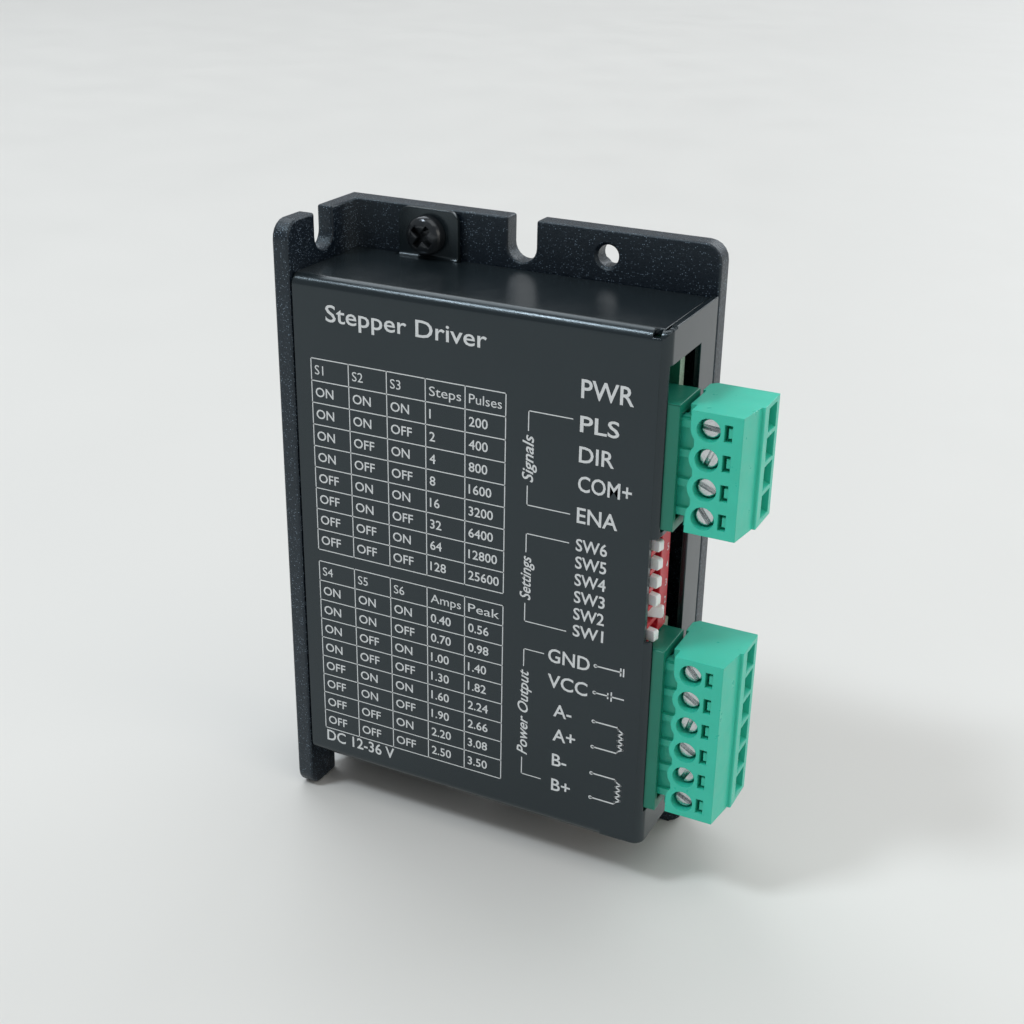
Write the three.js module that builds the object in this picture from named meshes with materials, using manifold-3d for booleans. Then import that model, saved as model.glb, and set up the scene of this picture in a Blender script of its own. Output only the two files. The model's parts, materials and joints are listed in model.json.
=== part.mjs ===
// Two-phase stepper motor driver in a metal case.
//
// An L-shaped heat sink (back plate and left side wall) carries the circuit board. A folded sheet
// cover closes the front, top, bottom and right side. The right side is open where two pluggable
// screw terminals and a row of piano-style selector levers reach out.
//
// Millimetres. +Z is up as the driver stands, +X is right seen from the front and +Y runs from the
// front into the depth. The origin is the centre of the back mounting face.

import * as THREE from "three";
import { mergeVertices } from "three/addons/utils/BufferGeometryUtils.js";
import Module from "manifold-3d";

const wasm = await Module();
wasm.setup();

// ---------------------------------------------------------------- driving dimensions

const WIDTH = 55; // back plate, left to right
const HEIGHT = 86; // back plate and side wall
const DEPTH = 20; // back face to the side wall's front edge
const GAP = 0.3; // clearance between neighbouring pieces
const BEYOND = 5; // how far a cutting tool runs past the surface it opens

const LEFT = -WIDTH / 2;
const RIGHT = WIDTH / 2;
const BOTTOM = -HEIGHT / 2;
const TOP = HEIGHT / 2;
const FRONT = -DEPTH;

const sink = {
  plate: 3, // back plate thickness
  wall: 2.4, // side wall thickness
  cornerRadius: 2.5,
  slotWidth: 4.2,
  slotInset: 3.7, // slot arc centre from the plate's end
  sideSlotWidth: 4.2,
  sideSlotY: FRONT + 8.6,
  sideSlotInset: 3.2,
  tappedX: 12.2, // small threaded hole near each right-hand corner
  tappedInset: 3.4,
  tappedRadius: 1.45,
  tappedMouth: 1.85,
  tappedMouthDepth: 0.4,
  holeInset: 3.5, // cover screw holes
  holeRadius: 1.75,
  bossRadius: 2.8,
  bossBore: 1.5,
};

const cover = {
  sheet: 0.8,
  front: FRONT + 0.27,
  inset: 6.65, // cover's top and bottom from the plate's ends
  bend: 1.5, // outer radius of each fold
  tabX: -13.4,
  tabWidth: 9,
  tabCorner: 1.6,
  tabFold: 0.5, // inner radius of the fold at the foot of a tab
  tabRelief: 0.5, // width of the small notch on each side of a tab's foot
  tabReliefDepth: 1,
  flangeTop: TOP - 6.4,
  flangeBottom: BOTTOM + 7.3,
  cornerHoleX: [RIGHT - 2.3, RIGHT - 1.35], // bend relief where top, front and right side meet
  cornerHoleDepth: 0.95,
  cornerNotch: 2.9, // the lower right corner is cut off square
};
cover.back = -sink.plate - GAP;
cover.left = LEFT + sink.wall + GAP / 2;
cover.top = TOP - cover.inset;
cover.bottom = BOTTOM + cover.inset;

// The opening in the cover's right side, and the part of it that also cuts the front fold.
const opening = {
  front: cover.front + cover.sheet + 0.03,
  back: FRONT + 11.25,
  top: TOP - 11,
  bottom: BOTTOM + 12.4,
  foldCut: 1.15, // how far the lever cut-out reaches in from the right side
  foldCutTop: TOP - 33.3,
  foldCutBottom: BOTTOM + 38.2,
  tongueTop: TOP - 32.4,
  tongueBottom: TOP - 33.1,
  tongueReach: 6.6,
};

const board = {
  thickness: 1.6,
  front: FRONT + 8.6,
  left: LEFT + 3.4,
  right: RIGHT - 1.6,
  halfHeight: 34.4,
  screwHoleRadius: 1.5,
  selectorNotch: 0.6, // the edge is set back where the selector overhangs it
};
board.back = board.front + board.thickness;

const boardFixings = [
  { name: "board_screw_top_left", x: -20, z: 30 },
  { name: "board_screw_top_right", x: 14.5, z: 30 },
  { name: "board_screw_bottom_left", x: -20, z: -30 },
  { name: "board_screw_bottom_right", x: 14.5, z: -30 },
];

const PITCH = 3.81; // pole to pole on the pluggable terminals

const header = {
  endWall: 1.5,
  wall: 0.9,
  backWall: 1.7,
  left: RIGHT - 7.5,
  right: RIGHT + 1.35,
  front: FRONT + 1.17,
  back: board.front - 0.25,
  endAllowance: 5.2, // body length beyond the pole-to-pole distance
};

const pin = {
  size: 1,
  y: FRONT + 4.85,
  legX: RIGHT - 8.5,
  tipX: RIGHT + 0.6,
  tipTaper: 0.25,
  tailY: board.back + 1.5,
};

const plug = {
  endAllowance: 0.65, // block height beyond a whole number of pitches
  left: header.right + 0.6,
  ledgeY: FRONT + 3.3, // recessed strip beside the header
  front: FRONT + 1.35,
  back: FRONT + 12,
  faceRight: RIGHT + 9.25, // right edge of the screw face
  lipX: RIGHT + 10.3,
  lipY: FRONT + 6.1,
  shoulderX: RIGHT + 9.85,
  screwX: RIGHT + 5,
  scallopRadius: 2.25,
  waistX: RIGHT + 3.3,
  wellRadius: 1.5,
  wellDepth: 2.25,
  shankHoleRadius: 1.15,
  testX: RIGHT + 7.95,
  testWidth: 1,
  testHeight: 2.15,
  testDepth: 2,
  testIslandDrop: 0.3, // the stub in a test pocket stands a little below the face
  entryY: FRONT + 9.3,
  entryWidth: 3.1,
  entryHeight: 2.4,
  mouthHeight: 3.3, // the entry widens towards the wire side
  mouthDepth: 1.3,
  chamberY: [FRONT + 4.2, FRONT + 11.3],
  chamberHalfX: 1.7,
  chamberHalfZ: 1.55,
  tongueInset: 0.35,
  tongueFront: header.front + header.wall + 0.8,
  ribHeight: 1,
  ribDepth: 0.5,
  tongueLeft: RIGHT - 5.4,
  socketDepth: 6.8,
  travel: 10,
};

const terminalScrew = {
  headRadius: 1.27,
  headHeight: 1.05,
  shankRadius: 0.8,
  slotWidth: 0.6,
  slotDepth: 0.65,
  top: plug.front + 0.95,
  tip: FRONT + 8.6,
};

const clamp = {
  halfX: 1.4,
  halfZ: 1.25,
  top: FRONT + 5.9,
  bottom: FRONT + 11,
  nut: 1.2, // threaded top plate
  bar: 0.7, // lifting bar at the bottom
  side: 0.25,
};

const selector = {
  levers: 6,
  pitch: 2.54,
  z: TOP - 41.03,
  length: 15.2,
  left: RIGHT - 11.1,
  right: RIGHT - 1.3,
  front: FRONT + 1.6,
  back: board.front - GAP,
  pivotX: RIGHT - 4.5,
  pivotY: FRONT + 3.2,
  tilt: THREE.MathUtils.degToRad(14),
  loweredLever: 2, // counted from the bottom
  reach: 4.45, // pivot to lever tip
  leverHalfZ: 0.76,
  leverHalfY: 0.5,
  tipRadius: 0.3,
  hubRadius: 0.95,
  slotHalfZ: 0.9,
  slotBack: FRONT + 5.35,
};

// ---------------------------------------------------------------- materials

function paint(color, roughness, metalness) {
  return new THREE.MeshStandardMaterial({ color, roughness, metalness });
}

const material = {
  heatSink: () => paint(0x1d2023, 0.6, 0.3),
  cover: () => paint(0x2b2f32, 0.38, 0.25),
  blackScrew: () => paint(0x17191b, 0.35, 0.6),
  fibreglass: () => paint(0x1f7a58, 0.5, 0),
  headerPlastic: () => paint(0x2f9d78, 0.5, 0),
  plugPlastic: () => paint(0x4cc3a0, 0.45, 0),
  plated: () => paint(0xc9ccd0, 0.3, 0.9),
  tinned: () => paint(0xd6d3c8, 0.35, 0.9),
  selectorBody: () => paint(0xb81f2a, 0.45, 0),
  selectorLever: () => paint(0xf2f3f1, 0.4, 0),
  lens: () => paint(0xdfeee2, 0.15, 0),
  chip: () => paint(0x191a1c, 0.6, 0),
  thermalPad: () => paint(0x8f96a3, 0.8, 0),
  aluminium: () => paint(0xb4b8bc, 0.4, 0.9),
  capacitor: () => paint(0xa9adb2, 0.35, 0.8),
};

// ---------------------------------------------------------------- geometry helpers

/** A closed outline with a rounded corner wherever a corner [a, b, radius] gives a radius. */
function outline(corners, arcSteps = 5) {
  const points = [];
  const add = (point) => {
    const last = points.at(-1);
    if (!last || last.distanceTo(point) > 1e-4) points.push(point);
  };
  corners.forEach(([a, b, radius = 0], index) => {
    const corner = new THREE.Vector2(a, b);
    if (radius === 0) {
      add(corner);
      return;
    }
    const towards = ([nextA, nextB]) => new THREE.Vector2(nextA, nextB).sub(corner).normalize();
    const before = towards(corners.at(index - 1));
    const after = towards(corners[(index + 1) % corners.length]);
    const half = Math.acos(THREE.MathUtils.clamp(before.dot(after), -1, 1)) / 2;
    const centre = before.clone().add(after).setLength(radius / Math.sin(half)).add(corner);
    const start = before.clone().multiplyScalar(radius / Math.tan(half)).add(corner).sub(centre);
    const end = after.clone().multiplyScalar(radius / Math.tan(half)).add(corner).sub(centre);
    const sweep = Math.atan2(start.cross(end), start.dot(end));
    for (let step = 0; step <= arcSteps; step++) {
      add(start.clone().rotateAround(new THREE.Vector2(), (sweep * step) / arcSteps).add(centre));
    }
  });
  if (points.at(-1).distanceTo(points[0]) < 1e-4) points.pop();
  return new THREE.Shape(points);
}

/** A rectangle from (a0, b0) to (a1, b1) with one radius, or the four radii in corner order. */
function rectangle(a0, b0, a1, b1, radius = 0, arcSteps = 5) {
  const radii = Array.isArray(radius) ? radius : [radius, radius, radius, radius];
  return outline(
    [
      [a0, b0, radii[0]],
      [a1, b0, radii[1]],
      [a1, b1, radii[2]],
      [a0, b1, radii[3]],
    ],
    arcSteps,
  );
}

const X_AXIS = new THREE.Vector3(1, 0, 0);
const Y_AXIS = new THREE.Vector3(0, 1, 0);
const Z_AXIS = new THREE.Vector3(0, 0, 1);

/** Extrudes a YZ outline along X. */
function alongX(shape, from, to) {
  const geometry = new THREE.ExtrudeGeometry(shape, { depth: to - from, bevelEnabled: false });
  geometry.translate(0, 0, from);
  return geometry.applyMatrix4(new THREE.Matrix4().makeBasis(Y_AXIS, Z_AXIS, X_AXIS));
}

/** Extrudes an XZ outline along Y. */
function alongY(shape, from, to) {
  const geometry = new THREE.ExtrudeGeometry(shape, { depth: to - from, bevelEnabled: false });
  geometry.translate(0, 0, -to);
  return geometry.applyMatrix4(new THREE.Matrix4().makeBasis(X_AXIS, Z_AXIS, Y_AXIS.clone().negate()));
}

/** Extrudes an XY outline along Z. */
function alongZ(shape, from, to) {
  return new THREE.ExtrudeGeometry(shape, { depth: to - from, bevelEnabled: false }).translate(0, 0, from);
}

function box([x0, y0, z0], [x1, y1, z1]) {
  const geometry = new THREE.BoxGeometry(x1 - x0, y1 - y0, z1 - z0);
  return geometry.translate((x0 + x1) / 2, (y0 + y1) / 2, (z0 + z1) / 2);
}

/** A rod lying along Y, centred on (x, z). */
function rodY(radius, x, z, from, to, sides = 24) {
  const geometry = new THREE.CylinderGeometry(radius, radius, to - from, sides);
  return geometry.translate(x, (from + to) / 2, z);
}

/** A turned piece about a Y axis through (x, z): profile is a list of [radius, y] from end to end. */
function turnedY(profile, x, z, sides = 24) {
  const points = profile.map(([radius, y]) => new THREE.Vector2(radius, y));
  return new THREE.LatheGeometry(points, sides).translate(x, 0, z);
}

function toSolid(geometry) {
  const bare = geometry.clone();
  bare.deleteAttribute("normal");
  bare.deleteAttribute("uv");
  const welded = mergeVertices(bare, 1e-5);
  const vertProperties = new Float32Array(welded.attributes.position.array);
  const triVerts = new Uint32Array(welded.index.array);
  return new wasm.Manifold(new wasm.Mesh({ numProp: 3, vertProperties, triVerts }));
}

function toGeometry(solid) {
  const { vertProperties, triVerts } = solid.getMesh();
  const geometry = new THREE.BufferGeometry();
  geometry.setAttribute("position", new THREE.BufferAttribute(new Float32Array(vertProperties), 3));
  geometry.setIndex(new THREE.BufferAttribute(new Uint32Array(triVerts), 1));
  geometry.computeVertexNormals();
  return geometry;
}

const join = (...geometries) => geometries.map(toSolid).reduce((whole, piece) => whole.add(piece));

/** Joins the first list and takes the second list away from it. */
function carve(bodies, cuts) {
  return toGeometry(cuts.map(toSolid).reduce((whole, tool) => whole.subtract(tool), join(...bodies)));
}

const assembly = new THREE.Group();

function addPiece(name, geometry, pieceMaterial) {
  const mesh = new THREE.Mesh(geometry, pieceMaterial);
  mesh.name = name;
  assembly.add(mesh);
}

// ---------------------------------------------------------------- heat sink

/** A slot open at the top or bottom end (side is 1 or -1) of a plate or wall. */
function endSlot(centre, width, inset, side) {
  const edge = side * (TOP - inset);
  const radius = width / 2;
  return outline(
    [
      [centre - radius, side * (TOP + BEYOND)],
      [centre - radius, edge - side * radius, radius],
      [centre + radius, edge - side * radius, radius],
      [centre + radius, side * (TOP + BEYOND)],
    ],
    6,
  );
}

/** The tool for a hole through the back plate with a countersunk mouth on the inside. */
function tappedHole(x, z) {
  const { plate, tappedRadius, tappedMouth, tappedMouthDepth } = sink;
  return turnedY(
    [
      [0, -plate - 1],
      [tappedMouth, -plate - 1],
      [tappedMouth, -plate],
      [tappedRadius, -plate + tappedMouthDepth],
      [tappedRadius, 1],
      [0, 1],
    ],
    x,
    z,
  );
}

function heatSink() {
  const plate = alongY(
    rectangle(LEFT, BOTTOM, RIGHT, TOP, [0, sink.cornerRadius, sink.cornerRadius, 0]),
    -sink.plate,
    0,
  );
  const wall = alongX(
    rectangle(FRONT, BOTTOM, 0, TOP, [sink.cornerRadius, 0, 0, sink.cornerRadius]),
    LEFT,
    LEFT + sink.wall,
  );
  const bosses = boardFixings.map(({ x, z }) =>
    rodY(sink.bossRadius, x, z, board.back + GAP, -sink.plate / 2, 14),
  );
  const cuts = [];
  for (const side of [1, -1]) {
    const rowZ = side * (TOP - sink.holeInset);
    cuts.push(alongY(endSlot(0, sink.slotWidth, sink.slotInset, side), -sink.plate - 1, 1));
    cuts.push(
      alongX(
        endSlot(sink.sideSlotY, sink.sideSlotWidth, sink.sideSlotInset, side),
        LEFT - 1,
        LEFT + sink.wall + 1,
      ),
    );
    cuts.push(rodY(sink.holeRadius, cover.tabX, rowZ, -sink.plate - 1, 1));
    cuts.push(tappedHole(sink.tappedX, side * (TOP - sink.tappedInset)));
  }
  for (const { x, z } of boardFixings) {
    cuts.push(rodY(sink.bossBore, x, z, board.back, -sink.plate + 1, 10));
  }
  return carve([plate, wall, ...bosses], cuts);
}

// ---------------------------------------------------------------- cover

/** The folded front, top and bottom: a channel with rounded outer and inner folds. */
function coverChannel() {
  const { sheet, bend, front, back, top, bottom } = cover;
  return alongX(
    outline([
      [back, top],
      [front, top, bend],
      [front, bottom, bend],
      [back, bottom],
      [back, bottom + sheet],
      [front + sheet, bottom + sheet, bend - sheet],
      [front + sheet, top - sheet, bend - sheet],
      [back, top - sheet],
    ]),
    cover.left,
    RIGHT - cover.sheet - GAP,
  );
}

/** The fold down the front right edge, rounded over at the top like the channel it joins. */
function coverRightFold() {
  const { sheet, bend, front, back, top, bottom, flangeBottom } = cover;
  const stripLeft = RIGHT - 6;
  const flangeEnd = front + 4;
  const fold = alongZ(
    outline([
      [stripLeft, front],
      [RIGHT, front, bend],
      [RIGHT, flangeEnd],
      [RIGHT - sheet, flangeEnd],
      [RIGHT - sheet, front + sheet, bend - sheet],
      [stripLeft, front + sheet],
    ]),
    flangeBottom,
    top,
  );
  const rounding = alongX(rectangle(front, bottom, back, top, [0, 0, 0, bend]), stripLeft - 1, RIGHT + 1);
  return toGeometry(toSolid(fold).intersect(toSolid(rounding)));
}

/** A fixing tab folded out from the rear edge of the top or bottom flange onto the back plate. */
function coverTab(side) {
  const { sheet, back, tabFold, tabX, tabWidth, tabCorner } = cover;
  const outer = side * cover.top;
  const inner = outer - side * sheet;
  const reach = 4;
  const strip = alongX(
    outline([
      [back - reach, inner],
      [back, inner, tabFold + sheet],
      [back, side * TOP],
      [back - sheet, side * TOP],
      [back - sheet, outer, tabFold],
      [back - reach, outer],
    ]),
    tabX - tabWidth / 2,
    tabX + tabWidth / 2,
  );
  const ends = [inner - side, side * TOP];
  const radii = side > 0 ? [0, 0, tabCorner, tabCorner] : [tabCorner, tabCorner, 0, 0];
  const half = tabWidth / 2;
  const shape = rectangle(tabX - half, Math.min(...ends), tabX + half, Math.max(...ends), radii);
  const trimmed = toSolid(strip).intersect(toSolid(alongY(shape, back - reach - 1, back + 1)));
  return toGeometry(trimmed);
}

function coverShell() {
  const { sheet, front, back, top, tabX, tabWidth, tabRelief, tabReliefDepth } = cover;
  const { cornerHoleX, cornerHoleDepth, cornerNotch } = cover;
  const sideFlange = box([RIGHT - sheet, front + 2.2, cover.flangeBottom], [RIGHT, back, cover.flangeTop]);
  const bodies = [coverChannel(), coverRightFold(), sideFlange, coverTab(1), coverTab(-1)];

  // The opening is one long cut, stopped by a narrow tongue between the upper header and the levers.
  const cutLeft = RIGHT - sheet - 0.6;
  const cuts = [
    box([cutLeft, opening.front, opening.tongueTop], [RIGHT + 1, opening.back, opening.top]),
    box([cutLeft, opening.front, opening.bottom], [RIGHT + 1, opening.back, opening.tongueBottom]),
    box(
      [cutLeft, front + opening.tongueReach, opening.tongueBottom - 1],
      [RIGHT + 1, opening.back, opening.tongueTop + 1],
    ),
    box(
      [RIGHT - opening.foldCut, FRONT - 1, opening.foldCutBottom],
      [RIGHT + 1, opening.front + 1, opening.foldCutTop],
    ),
    box([cornerHoleX[0], FRONT - 1, top - cornerHoleDepth], [cornerHoleX[1], front + 1.25, TOP]),
    box([RIGHT - cornerNotch, FRONT - 1, BOTTOM], [RIGHT + 1, front + 2, cover.flangeBottom + 0.05]),
  ];
  for (const side of [1, -1]) {
    cuts.push(rodY(sink.holeRadius, tabX, side * (TOP - sink.holeInset), back - 2, back + 1));
    for (const edge of [-1, 1]) {
      const inner = tabX + (edge * tabWidth) / 2;
      const sides = [inner, inner + edge * tabRelief];
      const heights = [side * (top + 0.2), side * (top - 1.5)];
      cuts.push(
        box(
          [Math.min(...sides), back - tabReliefDepth, Math.min(...heights)],
          [Math.max(...sides), back + 1, Math.max(...heights)],
        ),
      );
    }
  }
  return carve(bodies, cuts);
}

// ---------------------------------------------------------------- screws

/** A pan-head screw pointing along +Y with a cross recess, its head's underside at y. */
function crossScrew({ x, z, y, headRadius, headHeight, shankRadius, length, turn, sides, domeSteps }) {
  const dome = [];
  for (let step = 0; step <= domeSteps; step++) {
    const angle = (Math.PI / 2) * (step / domeSteps);
    const radius = headRadius * (0.55 + 0.45 * Math.sin(angle));
    const height = headHeight * (0.45 + 0.55 * Math.cos(angle));
    dome.push([radius, y - height]);
  }
  const body = turnedY(
    [
      [0, y - headHeight],
      ...dome,
      [headRadius, y],
      [shankRadius, y],
      [shankRadius, y + length - 0.4],
      [shankRadius - 0.3, y + length],
      [0, y + length],
    ],
    x,
    z,
    sides,
  );
  const cuts = [0, Math.PI / 2].map((angle) => {
    const arm = new THREE.BoxGeometry(headRadius * 1.25, headHeight * 1.3, headRadius * 0.3);
    return arm.rotateY(-(turn + angle)).translate(x, y - headHeight, z);
  });
  return carve([body], cuts);
}

function terminalScrewBody(z, slotAngle) {
  const { headRadius, headHeight, shankRadius, slotWidth, slotDepth, top, tip } = terminalScrew;
  const edge = 0.15;
  const body = turnedY(
    [
      [0, top],
      [headRadius - edge, top],
      [headRadius, top + edge],
      [headRadius, top + headHeight],
      [shankRadius, top + headHeight],
      [shankRadius, tip - edge],
      [shankRadius - edge, tip],
      [0, tip],
    ],
    plug.screwX,
    z,
    16,
  );
  const slot = new THREE.BoxGeometry(headRadius * 3, slotDepth * 2, slotWidth);
  slot.rotateY(-slotAngle).translate(plug.screwX, top, z);
  return carve([body], [slot]);
}

// ---------------------------------------------------------------- pluggable terminals

const poleHeights = (poles, centreZ) =>
  Array.from({ length: poles }, (_, index) => centreZ + ((poles - 1) / 2 - index) * PITCH);

function headerBody(poles, centreZ) {
  const half = ((poles - 1) * PITCH + header.endAllowance) / 2;
  const shell = alongX(
    rectangle(header.front, centreZ - half, header.back, centreZ + half, 0.3, 2),
    header.left,
    header.right,
  );
  const cavity = box(
    [header.left + header.backWall, header.front + header.wall, centreZ - half + header.endWall],
    [header.right + 1, header.back - header.wall, centreZ + half - header.endWall],
  );
  const reach = pin.size / 2 + GAP;
  const holeEnd = header.left + header.backWall + 1;
  const pinHoles = poleHeights(poles, centreZ).map((z) =>
    box([header.left - 1, pin.y - reach, z - reach], [holeEnd, pin.y + reach, z + reach]),
  );
  return carve([shell], [cavity, ...pinHoles]);
}

/** A right-angled square pin: a leg through the board and an arm along X with a tapered tip. */
function headerPin(z) {
  const half = pin.size / 2;
  const { legX, tipX, y, tailY, tipTaper } = pin;
  const shape = outline([
    [legX - half, y - half],
    [tipX - tipTaper * 1.6, y - half],
    [tipX, y - half + tipTaper],
    [tipX, y + half - tipTaper],
    [tipX - tipTaper * 1.6, y + half],
    [legX + half, y + half],
    [legX + half, tailY],
    [legX - half, tailY],
  ]);
  return alongZ(shape, z - half, z + half);
}

/** The screw block's front: straight on the right, scalloped round the screws on the left. */
function plugFace(poles, centreZ) {
  const half = (poles * PITCH + plug.endAllowance) / 2;
  const taper = plug.shoulderX - plug.faceRight;
  const side = alongZ(
    outline([
      [plug.waistX, plug.front],
      [plug.faceRight, plug.front],
      [plug.faceRight + taper, plug.lipY],
      [plug.waistX, plug.lipY],
    ]),
    centreZ - half,
    centreZ + half,
  );
  const scallops = poleHeights(poles, centreZ).map((z) =>
    rodY(plug.scallopRadius, plug.screwX, z, plug.front, plug.lipY, 24),
  );
  const corners = [centreZ - half, centreZ + half - PITCH / 2].map((low) =>
    box([plug.screwX - plug.scallopRadius, plug.front, low], [plug.screwX, plug.lipY, low + PITCH / 2]),
  );
  return [side, ...scallops, ...corners];
}

function plugBody(poles, centreZ) {
  const half = (poles * PITCH + plug.endAllowance) / 2;
  const heights = poleHeights(poles, centreZ);
  const shell = alongZ(
    outline([
      [plug.left, plug.ledgeY],
      [plug.screwX, plug.ledgeY],
      [plug.screwX, plug.lipY],
      [plug.lipX, plug.lipY, 0.2],
      [plug.lipX, plug.back, 0.2],
      [plug.left + 0.3, plug.back, 0.3],
      [plug.left - 0.4, plug.back - 0.8],
      [plug.left - 0.4, header.back + GAP],
      [plug.left, header.back + GAP],
    ]),
    centreZ - half,
    centreZ + half,
  );
  const headerHalf = ((poles - 1) * PITCH + header.endAllowance) / 2 - header.endWall;
  const tongueHalf = headerHalf - plug.tongueInset;
  const tongue = box(
    [plug.tongueLeft, plug.tongueFront, centreZ - tongueHalf],
    [plug.left + 1, header.back - header.wall - plug.tongueInset, centreZ + tongueHalf],
  );

  const ribs = heights.map((z) =>
    box(
      [plug.tongueLeft, plug.tongueFront - plug.ribDepth, z - plug.ribHeight / 2],
      [plug.left + 1, plug.tongueFront + 1, z + plug.ribHeight / 2],
    ),
  );

  const cuts = [];
  const socket = pin.size / 2 + GAP;
  const [chamberFront, chamberBack] = plug.chamberY;
  for (const z of heights) {
    cuts.push(rodY(plug.wellRadius, plug.screwX, z, plug.front - 1, plug.front + plug.wellDepth, 20));
    cuts.push(rodY(plug.shankHoleRadius, plug.screwX, z, plug.front, chamberFront + 1, 10));
    cuts.push(
      box(
        [plug.screwX - plug.chamberHalfX, chamberFront, z - plug.chamberHalfZ],
        [plug.screwX + plug.chamberHalfX, chamberBack, z + plug.chamberHalfZ],
      ),
    );
    cuts.push(
      box(
        [plug.screwX, plug.entryY - plug.entryWidth / 2, z - plug.entryHeight / 2],
        [plug.lipX + 1, plug.entryY + plug.entryWidth / 2, z + plug.entryHeight / 2],
      ),
    );
    cuts.push(entryMouth(z));
    cuts.push(
      box(
        [plug.tongueLeft - 1, pin.y - socket, z - socket],
        [plug.tongueLeft + plug.socketDepth, pin.y + socket, z + socket],
      ),
    );
    cuts.push(testPocket(z));
    cuts.push(
      box(
        [plug.testX - plug.testWidth, plug.front - 1, z - plug.testHeight / 2],
        [plug.testX, plug.front + plug.testIslandDrop, z + plug.testHeight / 2],
      ),
    );
  }
  return carve([shell, tongue, ...ribs, ...plugFace(poles, centreZ)], cuts);
}

/** The tool that slopes the top and bottom of a wire entry outwards, so that it guides the wire in. */
function entryMouth(z) {
  const { lipX, entryY, entryWidth, entryHeight, mouthHeight, mouthDepth } = plug;
  const shape = outline([
    [lipX - mouthDepth, z - entryHeight / 2],
    [lipX, z - mouthHeight / 2],
    [lipX + 1, z - mouthHeight / 2],
    [lipX + 1, z + mouthHeight / 2],
    [lipX, z + mouthHeight / 2],
    [lipX - mouthDepth, z + entryHeight / 2],
  ]);
  return alongY(shape, entryY - entryWidth / 2, entryY + entryWidth / 2);
}

/** The bracket-shaped test pocket beside each screw: a slot with a stub left standing in it. */
function testPocket(z) {
  const half = plug.testHeight / 2;
  const left = plug.testX - plug.testWidth;
  const right = plug.testX;
  const arm = 0.45;
  return alongY(
    outline([
      [left, z - half],
      [right, z - half],
      [right, z - half + arm],
      [left + arm, z - half + arm],
      [left + arm, z + half - arm],
      [right, z + half - arm],
      [right, z + half],
      [left, z + half],
    ]),
    plug.front - 1,
    plug.front + plug.testDepth,
  );
}

/** A rising clamp: a threaded top plate, two sides and a bar that lifts the wire. */
function clampCage(z) {
  const x0 = plug.screwX - clamp.halfX;
  const x1 = plug.screwX + clamp.halfX;
  const cage = box([x0, clamp.top, z - clamp.halfZ], [x1, clamp.bottom, z + clamp.halfZ]);
  const window = box(
    [x0 - 1, clamp.top + clamp.nut, z - clamp.halfZ + clamp.side],
    [x1 + 1, clamp.bottom - clamp.bar, z + clamp.halfZ - clamp.side],
  );
  const threadRadius = plug.shankHoleRadius - 0.05;
  const thread = rodY(threadRadius, plug.screwX, z, clamp.top - 1, clamp.top + clamp.nut + 0.1, 10);
  return carve([cage], [window, thread]);
}

function addTerminal(name, poles, centreZ, slotAngles) {
  addPiece(`${name}_header`, headerBody(poles, centreZ), material.headerPlastic());
  addPiece(`${name}_plug`, plugBody(poles, centreZ), material.plugPlastic());
  poleHeights(poles, centreZ).forEach((z, index) => {
    const number = index + 1;
    const slotAngle = THREE.MathUtils.degToRad(slotAngles[index]);
    addPiece(`${name}_pin_${number}`, headerPin(z), material.tinned());
    addPiece(`${name}_screw_${number}`, terminalScrewBody(z, slotAngle), material.plated());
    addPiece(`${name}_clamp_${number}`, clampCage(z), material.plated());
  });
}

// ---------------------------------------------------------------- circuit board and its parts

const terminals = {
  signal: { poles: 4, z: TOP - 23.85, slotAngles: [-4, 68, -22, -53] },
  power: { poles: 6, z: BOTTOM + 25, slotAngles: [-50, -32, 73, -32, 60, -27] },
};

function circuitBoard() {
  const { left, right, front, back, halfHeight, screwHoleRadius } = board;
  const slab = alongY(rectangle(left, -halfHeight, right, halfHeight, 1, 3), front, back);
  const holes = boardFixings.map(({ x, z }) => rodY(screwHoleRadius, x, z, front - 1, back + 1, 12));
  const pinHoleRadius = pin.size * Math.SQRT1_2 + GAP;
  const pinHoles = Object.values(terminals).flatMap(({ poles, z: centreZ }) =>
    poleHeights(poles, centreZ).map((z) => rodY(pinHoleRadius, pin.legX, z, front - 1, back + 1, 8)),
  );
  const { z: middle, length } = selector;
  const notch = box(
    [right - board.selectorNotch, front - 1, middle - length / 2],
    [right + 1, back + 1, middle + length / 2],
  );
  return carve([slab], [...holes, ...pinHoles, notch]);
}

/** A part on the board's front side, standing clear of it by the usual gap. */
function onBoardFront(width, tall, depth, x, z, edge = 0.2) {
  const shape = rectangle(x - width / 2, z - tall / 2, x + width / 2, z + tall / 2, edge, 2);
  return alongY(shape, board.front - GAP - depth, board.front - GAP);
}

function capacitor(x, z) {
  const radius = 3.15;
  const base = board.front - GAP;
  const can = base - 5.8;
  const groove = 0.25;
  return turnedY(
    [
      [0, can],
      [radius - 0.3, can],
      [radius, can + 0.3],
      [radius, base - 2],
      [radius - groove, base - 1.7],
      [radius - groove, base - 1.3],
      [radius, base - 1],
      [radius, base],
      [0, base],
    ],
    x,
    z,
    16,
  );
}

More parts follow.
